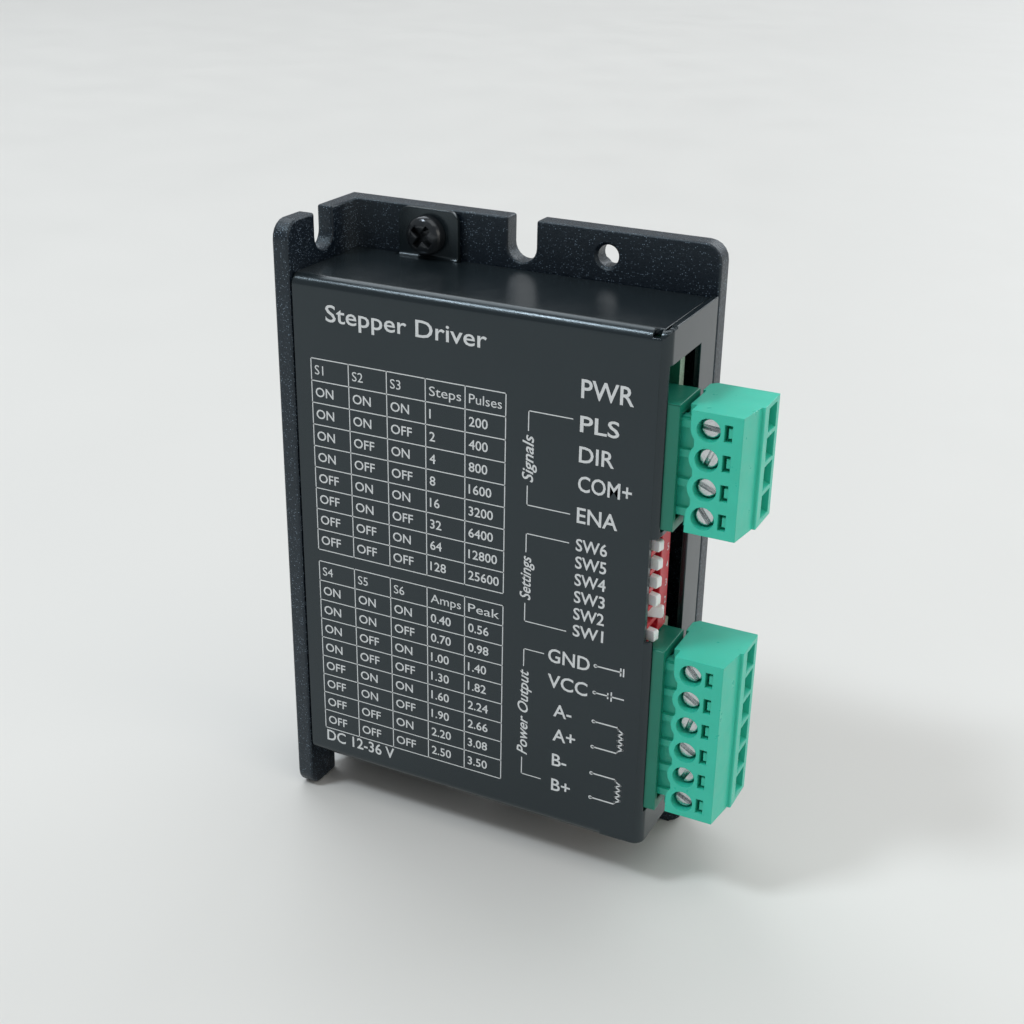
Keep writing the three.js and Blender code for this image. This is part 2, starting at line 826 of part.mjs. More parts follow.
function addBoardParts() {
  addPiece("circuit_board", circuitBoard(), material.fibreglass());
  for (const { name, x, z } of boardFixings) {
    const screw = crossScrew({
      x,
      z,
      y: board.front - 0.05,
      headRadius: 2.2,
      headHeight: 1.6,
      shankRadius: 1.2,
      length: 7.5,
      turn: Math.PI / 7,
      sides: 12,
      domeSteps: 2,
    });
    addPiece(name, screw, material.plated());
  }

  // Heat path behind the board: driver chip, soft pad and a block that stands on the back plate.
  const chip = { x: -6, z: 2, size: 9, thickness: 1.1 };
  const pad = { size: 10, thickness: 0.7 };
  const spreaderSize = 16;
  const square = (size, steps) =>
    rectangle(chip.x - size / 2, chip.z - size / 2, chip.x + size / 2, chip.z + size / 2, 0.4, steps);
  const chipBack = board.back + GAP + chip.thickness;
  const padBack = chipBack + GAP + pad.thickness;
  addPiece("driver_chip", alongY(square(chip.size, 2), board.back + GAP, chipBack), material.chip());
  addPiece("thermal_pad", alongY(square(pad.size, 2), chipBack + GAP, padBack), material.thermalPad());
  addPiece(
    "heat_spreader",
    alongY(square(spreaderSize, 3), padBack + GAP, -sink.plate - GAP),
    material.aluminium(),
  );

  addPiece("supply_capacitor_1", capacitor(8, -24), material.capacitor());
  addPiece("supply_capacitor_2", capacitor(8, -15.5), material.capacitor());
  addPiece("regulator", onBoardFront(6.5, 6, 2.3, -4, -24), material.chip());
  for (let channel = 1; channel <= 3; channel++) {
    const z = terminals.signal.z + (2 - channel) * 6.2;
    addPiece(`optocoupler_${channel}`, onBoardFront(6.4, 4.4, 3.4, 12, z), material.chip());
  }
  const ledHeight = TOP - 12.2;
  addPiece("power_led", powerLed(RIGHT - 3.3, ledHeight), material.lens());
}

/** A right-angled indicator lying at the board's edge, its domed end facing the side opening. */
function powerLed(x, z) {
  const radius = 1.1;
  const depth = board.front - GAP - 1.3;
  const lens = new THREE.SphereGeometry(radius, 16, 8);
  const barrel = new THREE.CylinderGeometry(radius, radius, 2.4, 16);
  barrel.rotateZ(Math.PI / 2).translate(-1.2, 0, 0);
  const placed = [lens, barrel].map((geometry) => geometry.translate(x, depth, z));
  const foot = box([x - 2.4, depth, z - 1], [x - 0.6, board.front - GAP, z + 1]);
  return carve([...placed, foot], []);
}

// ---------------------------------------------------------------- selector levers

const leverHeight = (number) => selector.z + (number - (selector.levers + 1) / 2) * selector.pitch;

function selectorBody() {
  const { left, right, front, back, length, z } = selector;
  const block = alongX(rectangle(front, z - length / 2, back, z + length / 2, 0.2, 2), left, right);
  const slots = [];
  for (let number = 1; number <= selector.levers; number++) {
    const height = leverHeight(number);
    slots.push(
      box(
        [selector.pivotX - selector.hubRadius - GAP, front - 1, height - selector.slotHalfZ],
        [right + 1, selector.slotBack, height + selector.slotHalfZ],
      ),
    );
  }
  return carve([block], slots);
}

/** One flat lever about its round hub, tilted to its position, with rounded corners at the tip. */
function selectorLever(number) {
  const { reach, leverHalfZ, leverHalfY, tipRadius, hubRadius, pivotX, pivotY } = selector;
  const arm = alongY(
    rectangle(0, -leverHalfZ, reach, leverHalfZ, [0, tipRadius, tipRadius, 0], 3),
    -leverHalfY,
    leverHalfY,
  );
  const hub = new THREE.CylinderGeometry(hubRadius, hubRadius, 2 * leverHalfZ, 16).rotateX(Math.PI / 2);
  const lever = carve([arm, hub], []);
  const lowered = number === selector.loweredLever;
  lever.rotateZ(lowered ? selector.tilt : -selector.tilt);
  return lever.translate(pivotX, pivotY, leverHeight(number));
}

function addSelector() {
  addPiece("selector_body", selectorBody(), material.selectorBody());
  for (let number = 1; number <= selector.levers; number++) {
    addPiece(`selector_lever_${number}`, selectorLever(number), material.selectorLever());
  }
}

// ---------------------------------------------------------------- assembly

addPiece("heat_sink", heatSink(), material.heatSink());
addPiece("cover", coverShell(), material.cover());
for (const [name, side] of [
  ["cover_screw_top", 1],
  ["cover_screw_bottom", -1],
]) {
  const screw = crossScrew({
    x: cover.tabX,
    z: side * (TOP - sink.holeInset),
    y: cover.back - cover.sheet - 0.05,
    headRadius: 2.7,
    headHeight: 1.9,
    shankRadius: 1.45,
    length: 3.8,
    turn: Math.PI / 3.4,
    sides: 24,
    domeSteps: 4,
  });
  addPiece(name, screw, material.blackScrew());
}
addBoardParts();
for (const [name, { poles, z, slotAngles }] of Object.entries(terminals)) {
  addTerminal(name, poles, z, slotAngles);
}
addSelector();

export default assembly;
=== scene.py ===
"""Looks of the stepper driver module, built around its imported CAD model.

Lengths in this file are written in millimetres and turned into metres by MM. The front of the
driver faces -Y, +X is the terminal side and +Z is up; the origin is the middle of the rear face.
"""

import json
import math

import bmesh
import bpy
from mathutils import Matrix, Vector

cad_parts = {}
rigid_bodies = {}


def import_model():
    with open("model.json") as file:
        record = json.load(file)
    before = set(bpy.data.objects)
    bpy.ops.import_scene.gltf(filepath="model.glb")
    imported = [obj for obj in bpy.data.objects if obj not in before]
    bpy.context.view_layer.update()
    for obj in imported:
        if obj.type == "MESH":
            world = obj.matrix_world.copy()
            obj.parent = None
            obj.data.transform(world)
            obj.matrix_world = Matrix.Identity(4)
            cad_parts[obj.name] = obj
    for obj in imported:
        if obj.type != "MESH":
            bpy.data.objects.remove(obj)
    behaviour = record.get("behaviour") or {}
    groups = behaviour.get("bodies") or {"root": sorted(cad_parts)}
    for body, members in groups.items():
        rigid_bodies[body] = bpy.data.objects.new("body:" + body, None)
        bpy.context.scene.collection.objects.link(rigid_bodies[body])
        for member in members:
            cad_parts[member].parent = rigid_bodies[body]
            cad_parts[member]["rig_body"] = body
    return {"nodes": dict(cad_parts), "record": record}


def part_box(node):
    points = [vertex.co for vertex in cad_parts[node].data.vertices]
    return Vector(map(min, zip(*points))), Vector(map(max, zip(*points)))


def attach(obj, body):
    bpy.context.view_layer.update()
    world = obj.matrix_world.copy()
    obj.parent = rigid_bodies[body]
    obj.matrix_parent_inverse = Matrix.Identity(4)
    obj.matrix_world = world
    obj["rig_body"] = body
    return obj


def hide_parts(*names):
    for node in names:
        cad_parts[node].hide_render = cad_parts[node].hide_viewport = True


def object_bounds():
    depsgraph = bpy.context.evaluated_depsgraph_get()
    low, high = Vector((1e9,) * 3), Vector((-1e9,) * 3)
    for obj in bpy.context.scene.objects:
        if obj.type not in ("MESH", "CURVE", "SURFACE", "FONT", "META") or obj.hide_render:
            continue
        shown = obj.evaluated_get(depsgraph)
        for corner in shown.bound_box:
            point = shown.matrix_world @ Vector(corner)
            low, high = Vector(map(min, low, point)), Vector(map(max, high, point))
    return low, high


MM = 0.001

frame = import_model()
cad_box = [list(corner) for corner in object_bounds()]

CASE = "case"  # the body that everything fixed rides on
ROWS = {"signal": 4, "power": 6}  # poles of each terminal
LEVERS = 6


# ---------------------------------------------------------------- places taken from the CAD

def low(node, axis):
    """The lowest coordinate of a CAD node along axis 0, 1 or 2, in millimetres."""
    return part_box(node)[0][axis] / MM


def high(node, axis):
    """The highest coordinate of a CAD node along axis 0, 1 or 2, in millimetres."""
    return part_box(node)[1][axis] / MM


def middle(node):
    """The centre of a CAD node's box, in millimetres."""
    lowest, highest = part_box(node)
    return (lowest + highest) / 2 / MM


FRONT_FACE = low("cover", 1)
PRINT_LIFT = 0.02  # how far the ink stands off the paint


# ---------------------------------------------------------------- material building blocks

class Nodes:
    """A new material with short calls for its nodes and links."""

    def __init__(self, name):
        self.material = bpy.data.materials.new(name)
        self.material.use_nodes = True
        self.tree = self.material.node_tree
        self.shader = self.tree.nodes["Principled BSDF"]
        self.place = self.add("ShaderNodeTexCoord").outputs["Object"]

    def add(self, kind, **settings):
        node = self.tree.nodes.new(kind)
        for key, value in settings.items():
            setattr(node, key, value)
        return node

    def link(self, source, target):
        self.tree.links.new(source, target)

    def fixed(self, **values):
        """Constant values straight on the shader's own sockets."""
        for key, value in values.items():
            self.shader.inputs[key.replace("_", " ")].default_value = value

    def noise(self, size_mm, detail=3.0, roughness=0.5, stretch=(1, 1, 1)):
        """Noise whose features are about size_mm across."""
        mapping = self.add("ShaderNodeMapping")
        mapping.inputs["Scale"].default_value = stretch
        texture = self.add("ShaderNodeTexNoise")
        texture.inputs["Scale"].default_value = 1 / (size_mm * MM)
        texture.inputs["Detail"].default_value = detail
        texture.inputs["Roughness"].default_value = roughness
        self.link(self.place, mapping.inputs["Vector"])
        self.link(mapping.outputs["Vector"], texture.inputs["Vector"])
        return texture.outputs["Fac"]

    def cells(self, size_mm):
        """A Voronoi texture with cells about size_mm across."""
        texture = self.add("ShaderNodeTexVoronoi")
        texture.inputs["Scale"].default_value = 1 / (size_mm * MM)
        self.link(self.place, texture.inputs["Vector"])
        return texture

    def flakes(self, spacing_mm, radius, share):
        """Small round specks of uneven brightness on a share of the cells, used as painted glints;
        radius is in cells.
        """
        texture = self.cells(spacing_mm)
        spot = self.range(texture.outputs["Distance"], radius * 0.5, radius, 1, 0)
        split = self.add("ShaderNodeSeparateColor")
        self.link(texture.outputs["Color"], split.inputs["Color"])
        chosen = self.range(split.outputs["Red"], 1 - share, 1, 0, 1)
        both = self.add("ShaderNodeMath", operation="MULTIPLY")
        self.link(spot, both.inputs[0])
        self.link(chosen, both.inputs[1])
        return both.outputs[0]

    def range(self, value, low_in, high_in, low_out, high_out):
        node = self.add("ShaderNodeMapRange")
        node.inputs["From Min"].default_value = low_in
        node.inputs["From Max"].default_value = high_in
        node.inputs["To Min"].default_value = low_out
        node.inputs["To Max"].default_value = high_out
        self.link(value, node.inputs["Value"])
        return node.outputs["Result"]

    def blend_colour(self, factor, first, second):
        """A colour that runs from first to second as factor goes from 0 to 1."""
        ramp = self.add("ShaderNodeValToRGB")
        ramp.color_ramp.elements[0].color = (*first, 1)
        ramp.color_ramp.elements[1].color = (*second, 1)
        self.link(factor, ramp.inputs["Fac"])
        return ramp.outputs["Color"]

    def worn_edges(self, radius_mm):
        """The surface normal with every edge rounded a little, for a bump to start from."""
        node = self.add("ShaderNodeBevel", samples=6)
        node.inputs["Radius"].default_value = radius_mm * MM
        return node.outputs["Normal"]

    def bump(self, height, strength, depth_mm, before=None):
        node = self.add("ShaderNodeBump")
        node.inputs["Strength"].default_value = strength
        node.inputs["Distance"].default_value = depth_mm * MM
        self.link(height, node.inputs["Height"])
        if before is not None:
            self.link(before, node.inputs["Normal"])
        return node.outputs["Normal"]

    def colour(self, value):
        self.link(value, self.shader.inputs["Base Color"])

    def roughness(self, value):
        self.link(value, self.shader.inputs["Roughness"])

    def normal(self, value):
        self.link(value, self.shader.inputs["Normal"])


# ---------------------------------------------------------------- materials

COOL_GLOSS = (0.80, 0.93, 1.0, 1)  # both black coatings reflect a little blue


def powder_coat():
    """Black powder coat: a fine pebbled skin over a bluish black, with bright specks painted into
    the colour as glints.
    """
    m = Nodes("powder_coat")
    patches = m.noise(9, 3)
    base = m.blend_colour(patches, (0.0008, 0.0034, 0.0085), (0.0020, 0.0066, 0.0145))
    # painted glints: bright bluish specks in the base colour stand for pebble tips catching the
    # light
    flakes = m.add("ShaderNodeMix", data_type="RGBA")
    m.link(m.flakes(0.22, 0.32, 0.5), flakes.inputs["Factor"])
    m.link(base, flakes.inputs["A"])
    flakes.inputs["B"].default_value = (0.30, 0.40, 0.50, 1)
    m.colour(flakes.outputs["Result"])
    grain = m.noise(0.16, 2, 0.7)
    m.roughness(m.range(grain, 0.35, 0.65, 0.24, 0.50))
    pebbles = m.bump(m.cells(0.26).outputs["Distance"], 0.5, 0.06, before=m.worn_edges(0.12))
    m.normal(m.bump(grain, 0.75, 0.06, before=pebbles))
    m.fixed(Specular_IOR_Level=0.6, Specular_Tint=COOL_GLOSS)
    return m.material


def satin_paint():
    """Thin satin black paint on folded sheet, with a light orange peel and faint handling marks."""
    m = Nodes("satin_paint")
    patches = m.noise(14, 4)
    m.colour(m.blend_colour(patches, (0.0065, 0.0105, 0.0130), (0.0110, 0.0160, 0.0190)))
    smudges = m.noise(6, 5, 0.6, stretch=(1, 1, 0.5))
    m.roughness(m.range(smudges, 0.3, 0.7, 0.17, 0.27))
    peel = m.bump(m.noise(0.9, 2), 0.15, 0.02, before=m.worn_edges(0.15))
    m.normal(m.bump(m.noise(0.14, 2, 0.6), 0.6, 0.018, before=peel))
    m.fixed(Specular_IOR_Level=0.6, Specular_Tint=COOL_GLOSS)
    return m.material


def ink():
    """White screen print with a slightly uneven film."""
    m = Nodes("white_ink")
    m.colour(m.blend_colour(m.noise(0.5, 4, 0.7), (0.62, 0.64, 0.65), (0.80, 0.82, 0.83)))
    m.roughness(m.range(m.noise(0.3, 2), 0.3, 0.7, 0.45, 0.6))
    m.normal(m.bump(m.noise(0.12, 2), 0.3, 0.01))
    return m.material


def moulded_plastic(name, dark, light, gloss=0.4, edge_mm=0.14):
    """Moulded plastic: fine spark-eroded texture, slow colour drift and rubbed patches."""
    m = Nodes(name)
    m.colour(m.blend_colour(m.noise(3.0, 3), dark, light))
    m.roughness(m.range(m.noise(1.5, 4), 0.3, 0.7, gloss - 0.06, gloss + 0.08))
    texture = m.bump(m.noise(0.12, 2, 0.6), 0.3, 0.012, before=m.worn_edges(edge_mm))
    m.normal(m.bump(m.noise(2.5, 1), 0.2, 0.05, before=texture))
    m.fixed(Subsurface_Weight=0.08, Subsurface_Scale=0.4 * MM)
    return m.material


def plated_metal(name, dark, light, scratch_mm=0.25):
    """Zinc-plated steel with turning marks, small scratches and duller patches."""
    m = Nodes(name)
    m.colour(m.blend_colour(m.noise(0.8, 4), dark, light))
    m.roughness(m.range(m.noise(0.35, 4, 0.6), 0.3, 0.7, 0.14, 0.34))
    lines = m.bump(
        m.noise(scratch_mm, 2, 0.6, stretch=(0.15, 1, 2.5)), 0.4, 0.02, before=m.worn_edges(0.08)
    )
    m.normal(m.bump(m.noise(0.5, 2), 0.3, 0.06, before=lines))
    m.fixed(Metallic=1.0)
    return m.material


def blackened_steel():
    """Black oxide on a machine screw: dark, oily and bright where edges catch the light."""
    m = Nodes("blackened_steel")
    m.colour(m.blend_colour(m.noise(0.7, 3), (0.020, 0.024, 0.028), (0.045, 0.050, 0.056)))
    m.roughness(m.range(m.noise(0.4, 3), 0.3, 0.7, 0.12, 0.24))
    m.normal(m.bump(m.noise(0.3, 2), 0.2, 0.02, before=m.worn_edges(0.1)))
    m.fixed(Metallic=0.6, Specular_IOR_Level=0.8)
    return m.material


def circuit_laminate():
    """Green solder mask over woven glass: the weave shows faintly and the cut edge is paler."""
    m = Nodes("circuit_laminate")
    fibres = m.noise(0.25, 3, 0.7, stretch=(1, 3, 1))
    mask = m.blend_colour(m.noise(4, 3), (0.010, 0.13, 0.075), (0.018, 0.19, 0.11))
    edge = m.blend_colour(fibres, (0.20, 0.34, 0.25), (0.62, 0.72, 0.60))
    facing = m.add("ShaderNodeNewGeometry").outputs["True Normal"]
    split = m.add("ShaderNodeSeparateXYZ")
    m.link(facing, split.inputs["Vector"])
    depthwise = m.add("ShaderNodeMath", operation="ABSOLUTE")
    m.link(split.outputs["Y"], depthwise.inputs[0])
    mix = m.add("ShaderNodeMix", data_type="RGBA")
    m.link(depthwise.outputs[0], mix.inputs["Factor"])
    m.link(edge, mix.inputs["A"])
    m.link(mask, mix.inputs["B"])
    m.colour(mix.outputs["Result"])
    m.roughness(m.range(fibres, 0.3, 0.7, 0.35, 0.6))
    m.normal(m.bump(fibres, 0.4, 0.03))
    return m.material


def lamp_lens():
    """Clear lens of the unlit indicator, milky inside."""
    m = Nodes("lamp_lens")
    m.colour(m.blend_colour(m.noise(1.2, 2), (0.62, 0.74, 0.66), (0.80, 0.88, 0.82)))
    m.roughness(m.range(m.noise(0.6, 2), 0.3, 0.7, 0.12, 0.22))
    m.normal(m.bump(m.noise(0.5, 2), 0.15, 0.02))
    m.fixed(Transmission_Weight=0.35, IOR=1.5)
    return m.material


def pale_floor():
    """Plain pale table top with hardly any texture."""
    m = Nodes("pale_floor")
    m.colour(m.blend_colour(m.noise(300, 2), (0.70, 0.69, 0.665), (0.74, 0.73, 0.705)))
    m.roughness(m.range(m.noise(40, 3), 0.3, 0.7, 0.5, 0.62))
    m.normal(m.bump(m.noise(1.2, 3), 0.1, 0.05))
    return m.material


def all_materials():
    """One material for each slot of the record, and the ink."""
    return {
        "heat_sink": powder_coat(),
        "cover": satin_paint(),
        "ink": ink(),
        "black_screw": blackened_steel(),
        "board": circuit_laminate(),
        # painted shade: the plug's green plastic made much darker to stand for the shadow the case
        # throws on the header
        "header": moulded_plastic(
            "header_green_painted_shade", (0.003, 0.165, 0.105), (0.006, 0.210, 0.140), 0.40
        ),
        "plug": moulded_plastic("plug_green", (0.030, 0.545, 0.385), (0.046, 0.63, 0.46), 0.33),
        "plated": plated_metal("zinc_plating", (0.46, 0.48, 0.50), (0.78, 0.80, 0.80)),
        "tinned": plated_metal("tin_plating", (0.60, 0.59, 0.55), (0.80, 0.79, 0.75)),
        "selector_body": moulded_plastic(
            "selector_red", (0.50, 0.008, 0.020), (0.62, 0.016, 0.030), 0.34
        ),
        "selector_lever": moulded_plastic(
            "selector_white", (0.84, 0.86, 0.86), (0.90, 0.91, 0.91), 0.30
        ),
        "lens": lamp_lens(),
        "chip": moulded_plastic("chip_black", (0.010, 0.010, 0.011), (0.022, 0.022, 0.023), 0.55),
        "thermal_pad": moulded_plastic(
            "silicone_grey", (0.22, 0.25, 0.29), (0.30, 0.33, 0.37), 0.75
        ),
        "spreader": plated_metal("milled_aluminium", (0.58, 0.59, 0.61), (0.74, 0.75, 0.76)),
        "capacitor": plated_metal("drawn_can", (0.55, 0.56, 0.58), (0.72, 0.73, 0.74)),
    }


MATERIALS = all_materials()


# ---------------------------------------------------------------- CAD nodes as finished pieces

def slot_of(node):
    for part in frame["record"]["subparts"]:
        if part["node"] == node:
            return part["material_slot"]
    raise KeyError(node)


def body_of(node):
    return frame["nodes"][node]["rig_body"]


def set_material(piece, material):
    piece.data.materials.clear()
    piece.data.materials.append(material)


def new_piece(name, mesh, body, slot=None, material=None):
    piece = bpy.data.objects.new(name, mesh)
    bpy.context.scene.collection.objects.link(piece)
    set_material(piece, material or MATERIALS[slot])
    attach(piece, body)
    return piece


SHARP = math.radians(32)  # faces that meet at more than this have a crease between them
FLAT = math.radians(0.5)  # faces that meet at less than this are one face
WELD = 0.0005  # corners closer than this are one corner
EDGE_ROOM = 2.5  # widths of flat face that a rounded edge needs on both sides
EDGE_SEGMENTS = 3


def is_crease(edge):
    return edge.is_manifold and edge.calc_face_angle() > SHARP


def has_room(edge, distance):
    """True if both faces beside an edge reach at least this far inwards from its middle."""
    centre = (edge.verts[0].co + edge.verts[1].co) / 2
    for loop in edge.link_loops:
        along = loop.link_loop_next.vert.co - loop.vert.co
        inwards = loop.face.normal.cross(along).normalized()
        if not bmesh.geometry.intersect_face_point(loop.face, centre + inwards * distance):
            return False
    return True


def finished(node, edge_mm):
    """A copy of a CAD node in its place, with smooth curves and outer edges edge_mm round."""
    mesh = frame["nodes"][node].data.copy()
    mesh.name = node + "_finished"
    build = bmesh.new()
    build.from_mesh(mesh)
    bmesh.ops.remove_doubles(build, verts=build.verts, dist=WELD * MM)
    bmesh.ops.dissolve_limit(build, angle_limit=FLAT, verts=build.verts, edges=build.edges)
    weight = build.edges.layers.float.new("bevel_weight_edge")
    for edge in build.edges:
        if is_crease(edge):
            room = EDGE_ROOM * edge_mm * MM
            rounded = edge_mm > 0 and edge.is_convex and has_room(edge, room)
            edge[weight] = 1.0 if rounded else 0.0
            edge.smooth = rounded
    for face in build.faces:
        face.smooth = True
    build.to_mesh(mesh)
    build.free()
    piece = new_piece(node + "_finished", mesh, body_of(node), slot_of(node))
    if edge_mm > 0:
        bevel = piece.modifiers.new("rounded_edges", "BEVEL")
        bevel.width = edge_mm * MM
        bevel.segments = EDGE_SEGMENTS
        bevel.limit_method = "WEIGHT"
        bevel.loop_slide = False
        bevel.use_clamp_overlap = False
    piece.modifiers.new("face_normals", "WEIGHTED_NORMAL").keep_sharp = True
    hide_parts(node)
    return piece


def finish_cad_nodes():
    """Every CAD node gets its material, and the ones in plain view get finished edges as well.

    A plug's small pockets leave no room for real rounding, so its material rounds the edges.
    """
    edges = {
        "heat_sink": 0.35,
        "cover": 0.10,
        "circuit_board": 0.06,
        "selector_body": 0.10,
        "power_led": 0.08,
        "cover_screw_top": 0.10,
        "cover_screw_bottom": 0.10,
    }
    for row, poles in ROWS.items():
        edges[row + "_header"] = 0.10
        edges[row + "_plug"] = 0.0
        for number in range(1, poles + 1):
            edges[f"{row}_screw_{number}"] = 0.06
    for number in range(1, LEVERS + 1):
        edges[f"selector_lever_{number}"] = 0.08
    for node, piece in frame["nodes"].items():
        if node in edges:
            finished(node, edges[node])
        else:
            set_material(piece, MATERIALS[slot_of(node)])


# ---------------------------------------------------------------- screen print on the cover

class Print:
    """Flat white marks in one mesh; place turns (across, up) into a point on the face."""

    def __init__(self, place):
        self.place = place
        self.build = bmesh.new()
        self.cap_ratio = self._cap_ratio()

    @staticmethod
    def _outline(text, slant=0.0, weight=0.0):
        curve = bpy.data.curves.new("lettering", "FONT")
        curve.body = text
        curve.size = 1.0
        curve.shear = slant
        curve.offset = weight
        curve.resolution_u = 3
        holder = bpy.data.objects.new("lettering", curve)
        bpy.context.scene.collection.objects.link(holder)
        bpy.context.view_layer.update()
        evaluated = holder.evaluated_get(bpy.context.evaluated_depsgraph_get())
        mesh = bpy.data.meshes.new_from_object(evaluated)
        bpy.data.objects.remove(holder)
        bpy.data.curves.remove(curve)
        return mesh

    def _cap_ratio(self):
        mesh = self._outline("H")
        tall = max(v.co.y for v in mesh.vertices)
        bpy.data.meshes.remove(mesh)
        return tall

    def text(
        self, text, x, z, cap, width=None, align="left", upright=False, slant=0.0, weight=0.0
    ):
        """Text with capitals cap tall, centred on z; upright text runs from bottom to top."""
        mesh = self._outline(text, slant, weight)
        scale = cap / self.cap_ratio
        left = min(v.co.x for v in mesh.vertices)
        right = max(v.co.x for v in mesh.vertices)
        across = width / (right - left) if width else scale
        length = (right - left) * across
        shift = {"left": 0.0, "centre": -length / 2, "right": -length}[align]
        for vertex in mesh.vertices:
            along = (vertex.co.x - left) * across + shift
            up = vertex.co.y * scale - cap / 2
            if upright:
                vertex.co = self._point(x - up, z + along)
            else:
                vertex.co = self._point(x + along, z + up)
        self.build.from_mesh(mesh)
        bpy.data.meshes.remove(mesh)

    def _point(self, x, z):
        return Vector(self.place(x, z)) * MM

    def line(self, points, width):
        """A stroke through a list of (x, z) points, with its corners filled."""
        for start, end in zip(points, points[1:]):
            a = Vector(start)
            b = Vector(end)
            direction = (b - a).normalized() * width / 2
            across = Vector((-direction.y, direction.x))
            corners = [
                a - direction + across,
                a - direction - across,
                b + direction - across,
                b + direction + across,
            ]
            self.build.faces.new([self.build.verts.new(self._point(*c)) for c in corners])

    def dot(self, x, z, radius, sides=14):
        ring = [
            self._point(
                x + radius * math.cos(math.tau * i / sides),
                z + radius * math.sin(math.tau * i / sides),
            )
            for i in range(sides)
        ]
        self.build.faces.new([self.build.verts.new(p) for p in ring])

    def piece(self, name, body):
        mesh = bpy.data.meshes.new(name)
        self.build.to_mesh(mesh)
        self.build.free()
        return new_piece(name, mesh, body, material=MATERIALS["ink"])


RULE = 0.14  # thin table and bracket lines
STROKE = 0.2  # circuit symbols
DOT = 0.27  # radius of the dot that stands for a terminal
BOLD = 0.012  # what most labels add to the outline of their letters
TABLE_CAP = 1.26
TABLE_BOLD = 0.01
TABLE_INDENT = 0.55
COLUMNS = 5
COLUMN_LEFT = -22.38
COLUMN_PITCH = 5.75
SWITCHES = 3  # the levers that each table is about
TABLE_ROWS = 1 + 2 ** SWITCHES  # a heading and a row for each lever setting


def printed_table(art, top, row_height, heading, last_columns):
    """A ruled table: three ON/OFF columns that count through the settings and two of values."""
    right = COLUMN_LEFT + COLUMNS * COLUMN_PITCH
    bottom = top - TABLE_ROWS * row_height
    for row in range(TABLE_ROWS + 1):
        z = top - row * row_height
        art.line([(COLUMN_LEFT, z), (right, z)], RULE)
    for column in range(COLUMNS + 1):
        x = COLUMN_LEFT + column * COLUMN_PITCH
        art.line([(x, top), (x, bottom)], RULE)
    for row in range(TABLE_ROWS):
        z = top - (row + 0.5) * row_height
        for column in range(COLUMNS):
            x = COLUMN_LEFT + column * COLUMN_PITCH + TABLE_INDENT
            is_switch = column < SWITCHES
            if row == 0:
                width = None if is_switch else COLUMN_PITCH - 2 * TABLE_INDENT
                art.text(heading[column], x, z, TABLE_CAP, width=width)
                continue
            setting = row - 1
            if is_switch:
                switched_off = setting >> (SWITCHES - 1 - column) & 1
                label = "OFF" if switched_off else "ON"
            else:
                label = last_columns[column - SWITCHES](setting)
            art.text(label, x, z, TABLE_CAP, weight=TABLE_BOLD)


def bracket(art, label, top, bottom, reach):
    """A square bracket that groups labels, broken in the middle by its upright italic name."""
    x = 9.55
    ends = 2.6
    gap = 0.6
    middle_z = (top + bottom) / 2
    art.line([(reach, top), (x, top), (x, top - ends)], RULE)
    art.line([(reach, bottom), (x, bottom), (x, bottom + ends)], RULE)
    art.text(
        label, x, middle_z, 1.5, width=(top - bottom) - 2 * (ends + gap),
        align="centre", upright=True, slant=0.28, weight=BOLD,
    )


def lead(art, z, end):
    """A terminal's dot with a line that runs right from it, to end."""
    left = 19.9
    art.dot(left, z, DOT)
    art.line([(left, z), (end, z)], STROKE)


def plate(art, x, z, half_height):
    """An upright stroke of a circuit symbol, centred on z."""
    art.line([(x, z + half_height), (x, z - half_height)], STROKE)


def ground_symbol(art, z):
    """A lead that ends in two equal plates."""
    end = 23.45
    lead(art, z, end)
    for x in (end, end + 0.4):
        plate(art, x, z, 0.5)


def supply_symbol(art, z):
    """A cell: a short plate and a long one in the middle of a lead."""
    short_plate = 21.8
    long_plate = 22.3
    lead(art, z, short_plate)
    plate(art, short_plate, z, 0.35)
    plate(art, long_plate, z, 0.6)
    art.line([(long_plate, z), (24.0, z)], STROKE)


def coil_symbol(art, top, bottom):
    """Two leads with a dot each, joined on the right by a winding drawn as a zigzag."""
    left = 19.95
    right = 23.5
    tooth = 0.75
    teeth = 4
    inset = 0.3
    art.dot(left, top, DOT)
    art.dot(left, bottom, DOT)
    points = [(left, top), (right, top), (right, top - inset)]
    step = (top - bottom - 2 * inset) / (2 * teeth)
    for half_tooth in range(1, 2 * teeth):
        reach = tooth if half_tooth % 2 else 0.0
        points.append((right + reach, top - inset - half_tooth * step))
    points += [(right, bottom + inset), (right, bottom), (left, bottom)]
    art.line(points, STROKE)


def lever_numbers():
    """The numbers 1 to 6 beside the levers, on the selector's terminal-side face."""
    face = high("selector_body", 0) + PRINT_LIFT
    beside = high("selector_body", 1) - 0.75
    art = Print(lambda y, z: (face, y, z))
    for number in range(1, LEVERS + 1):
        z = middle(f"selector_lever_{number}").z
        art.text(str(number), beside, z, 0.95, align="centre", weight=TABLE_BOLD)
    return art.piece("lever_numbers", CASE)


def setting_tables(art):
    """Both tables of lever settings; their values follow simple rules."""
    printed_table(
        art, 25.35, 3.1, ["S1", "S2", "S3", "Steps", "Pulses"],
        [lambda n: str(2 ** n), lambda n: str(200 * 2 ** n)],
    )
    printed_table(
        art, -4.35, 3.02, ["S4", "S5", "S6", "Amps", "Peak"],
        [lambda n: f"{0.4 + 0.3 * n:.2f}", lambda n: f"{(0.4 + 0.3 * n) * 1.4:.2f}"],
    )


def signal_labels(art, x):
    """The lamp's label and one for each pole of the upper terminal."""
    art.text("PWR", x, 27.75, 2.35, width=6.9, weight=BOLD)
    labels = [("PLS", 23.2, 5.2), ("DIR", 19.2, 4.7), ("COM+", 15.3, 7.2), ("ENA", 11.0, 5.5)]
    for label, z, width in labels:
        art.text(label, x, z, 2.05, width=width, weight=BOLD)
    bracket(art, "Signals", 23.63, 10.9, 15.5)


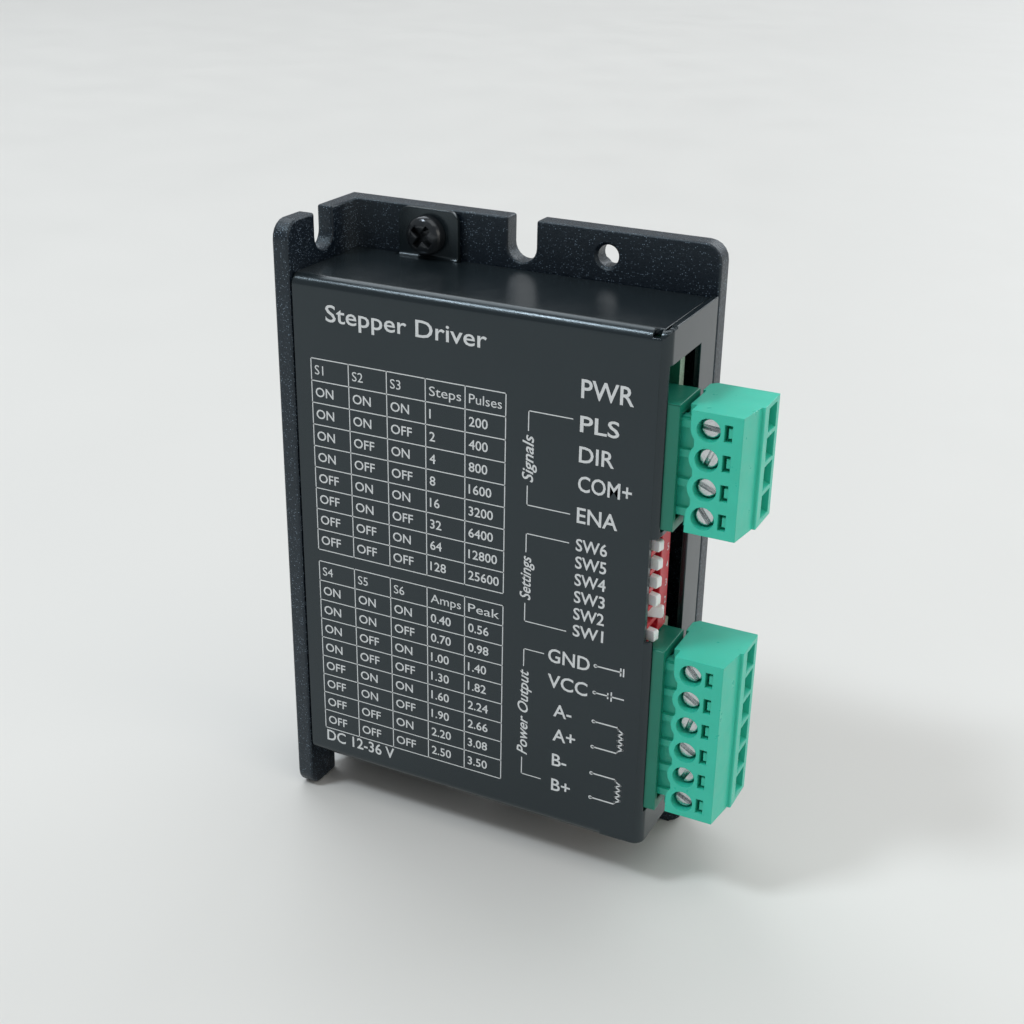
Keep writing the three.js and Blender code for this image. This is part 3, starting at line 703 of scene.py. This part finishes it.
def lever_labels(art, x):
    """A label for each selector lever, the highest number on top."""
    lowest = -5.35
    pitch = 2.45
    for number in range(LEVERS, 0, -1):
        z = lowest + (number - 1) * pitch
        art.text(f"SW{number}", x, z, 1.62, width=4.3, weight=0.014)


def power_labels(art):
    """Names for the poles of the lower terminal."""
    art.text("GND", 13.1, -9.9, 1.95, width=6.0, weight=BOLD)
    art.text("VCC", 13.15, -13.75, 1.95, width=5.75, weight=BOLD)
    for label, z in [("A-", -18.1), ("A+", -21.9), ("B-", -25.9), ("B+", -29.9)]:
        art.text(label, 14.1, z, 1.85, weight=BOLD)


def front_print():
    """Everything printed on the front of the cover, as one piece."""
    art = Print(lambda x, z: (x, FRONT_FACE - PRINT_LIFT, z))
    art.text("Stepper Driver", -8.1, 31.8, 2.2, width=23.5, align="centre", weight=0.008)
    setting_tables(art)
    art.text("DC 12-36 V", -22.2, -32.75, 1.7, width=11.4, weight=BOLD)

    label_left = 16.5
    signal_labels(art, label_left)
    lever_labels(art, label_left)
    bracket(art, "Settings", 6.9, -5.8, 15.5)
    power_labels(art)
    bracket(art, "Power Output", -9.95, -29.6, 12.45)
    ground_symbol(art, -9.8)
    supply_symbol(art, -13.8)
    coil_symbol(art, -18.2, -22.15)
    coil_symbol(art, -26.3, -30.2)
    return art.piece("front_print", CASE)


# ---------------------------------------------------------------- stage, light and camera

def floor():
    """A pale floor, three metres out from the part, at the height of its lower edge."""
    half = 3.0
    mesh = bpy.data.meshes.new("floor")
    z = cad_box[0][2]
    corners = [(-half, -half, z), (half, -half, z), (half, half, z), (-half, half, z)]
    mesh.from_pydata(corners, [], [(0, 1, 2, 3)])
    piece = bpy.data.objects.new("floor", mesh)
    bpy.context.scene.collection.objects.link(piece)
    set_material(piece, pale_floor())


def area_light(name, place, size, power, colour):
    """A soft rectangular lamp that faces the part; metres and watts."""
    lamp = bpy.data.lights.new(name, "AREA")
    lamp.shape = "RECTANGLE"
    lamp.size, lamp.size_y = size
    lamp.energy = power
    lamp.color = colour
    holder = bpy.data.objects.new(name, lamp)
    bpy.context.scene.collection.objects.link(holder)
    holder.location = place
    holder.rotation_euler = (-Vector(place)).to_track_quat("-Z", "Y").to_euler()


def lighting():
    """Soft studio light: a pale room, a window, a ceiling, a small key and two bright walls."""
    cool_white = (0.93, 0.97, 1.0)
    world = bpy.data.worlds.new("studio")
    world.use_nodes = True
    background = world.node_tree.nodes["Background"]
    background.inputs["Color"].default_value = (*cool_white, 1)
    background.inputs["Strength"].default_value = 0.35
    bpy.context.scene.world = world
    area_light("window", (-1.1, 0.9, 1.8), (1.4, 1.4), 14.2, cool_white)
    area_light("ceiling", (0.6, -0.3, 2.1), (1.8, 1.8), 12.0, (1.0, 0.985, 0.95))
    area_light("key", (-0.72, -0.74, 1.48), (0.30, 0.30), 11.0, (0.86, 0.94, 1.0))
    area_light("far_wall", (0.7, 1.9, 1.0), (2.4, 1.0), 17.0, (0.94, 0.97, 1.0))
    area_light("warm_wall", (1.6, -0.3, 0.5), (1.2, 0.8), 4.0, (1.0, 0.90, 0.78))
    bpy.context.scene.view_settings.view_transform = "Standard"


def camera():
    """The photograph's view: from the front, a little to the right and above."""
    place = Vector((84.87, -177.83, 88.64)) * MM
    azimuth = math.radians(26.09)
    drop = math.radians(24.22)
    roll = math.radians(0.95)
    field_of_view = math.radians(37.49)
    forward = Vector((
        -math.sin(azimuth) * math.cos(drop),
        math.cos(azimuth) * math.cos(drop),
        -math.sin(drop),
    ))
    level = forward.cross(Vector((0, 0, 1))).normalized()
    upward = level.cross(forward)
    right = math.cos(roll) * level + math.sin(roll) * upward
    up = -math.sin(roll) * level + math.cos(roll) * upward
    data = bpy.data.cameras.new("camera")
    data.sensor_fit = "HORIZONTAL"
    data.angle = field_of_view
    data.clip_start = 0.01
    holder = bpy.data.objects.new("camera", data)
    holder.matrix_world = Matrix((
        (right.x, up.x, -forward.x, place.x),
        (right.y, up.y, -forward.y, place.y),
        (right.z, up.z, -forward.z, place.z),
        (0, 0, 0, 1),
    ))
    bpy.context.scene.collection.objects.link(holder)
    bpy.context.scene.camera = holder


# ---------------------------------------------------------------- build

camera()
lighting()
floor()
finish_cad_nodes()
front_print()
lever_numbers()
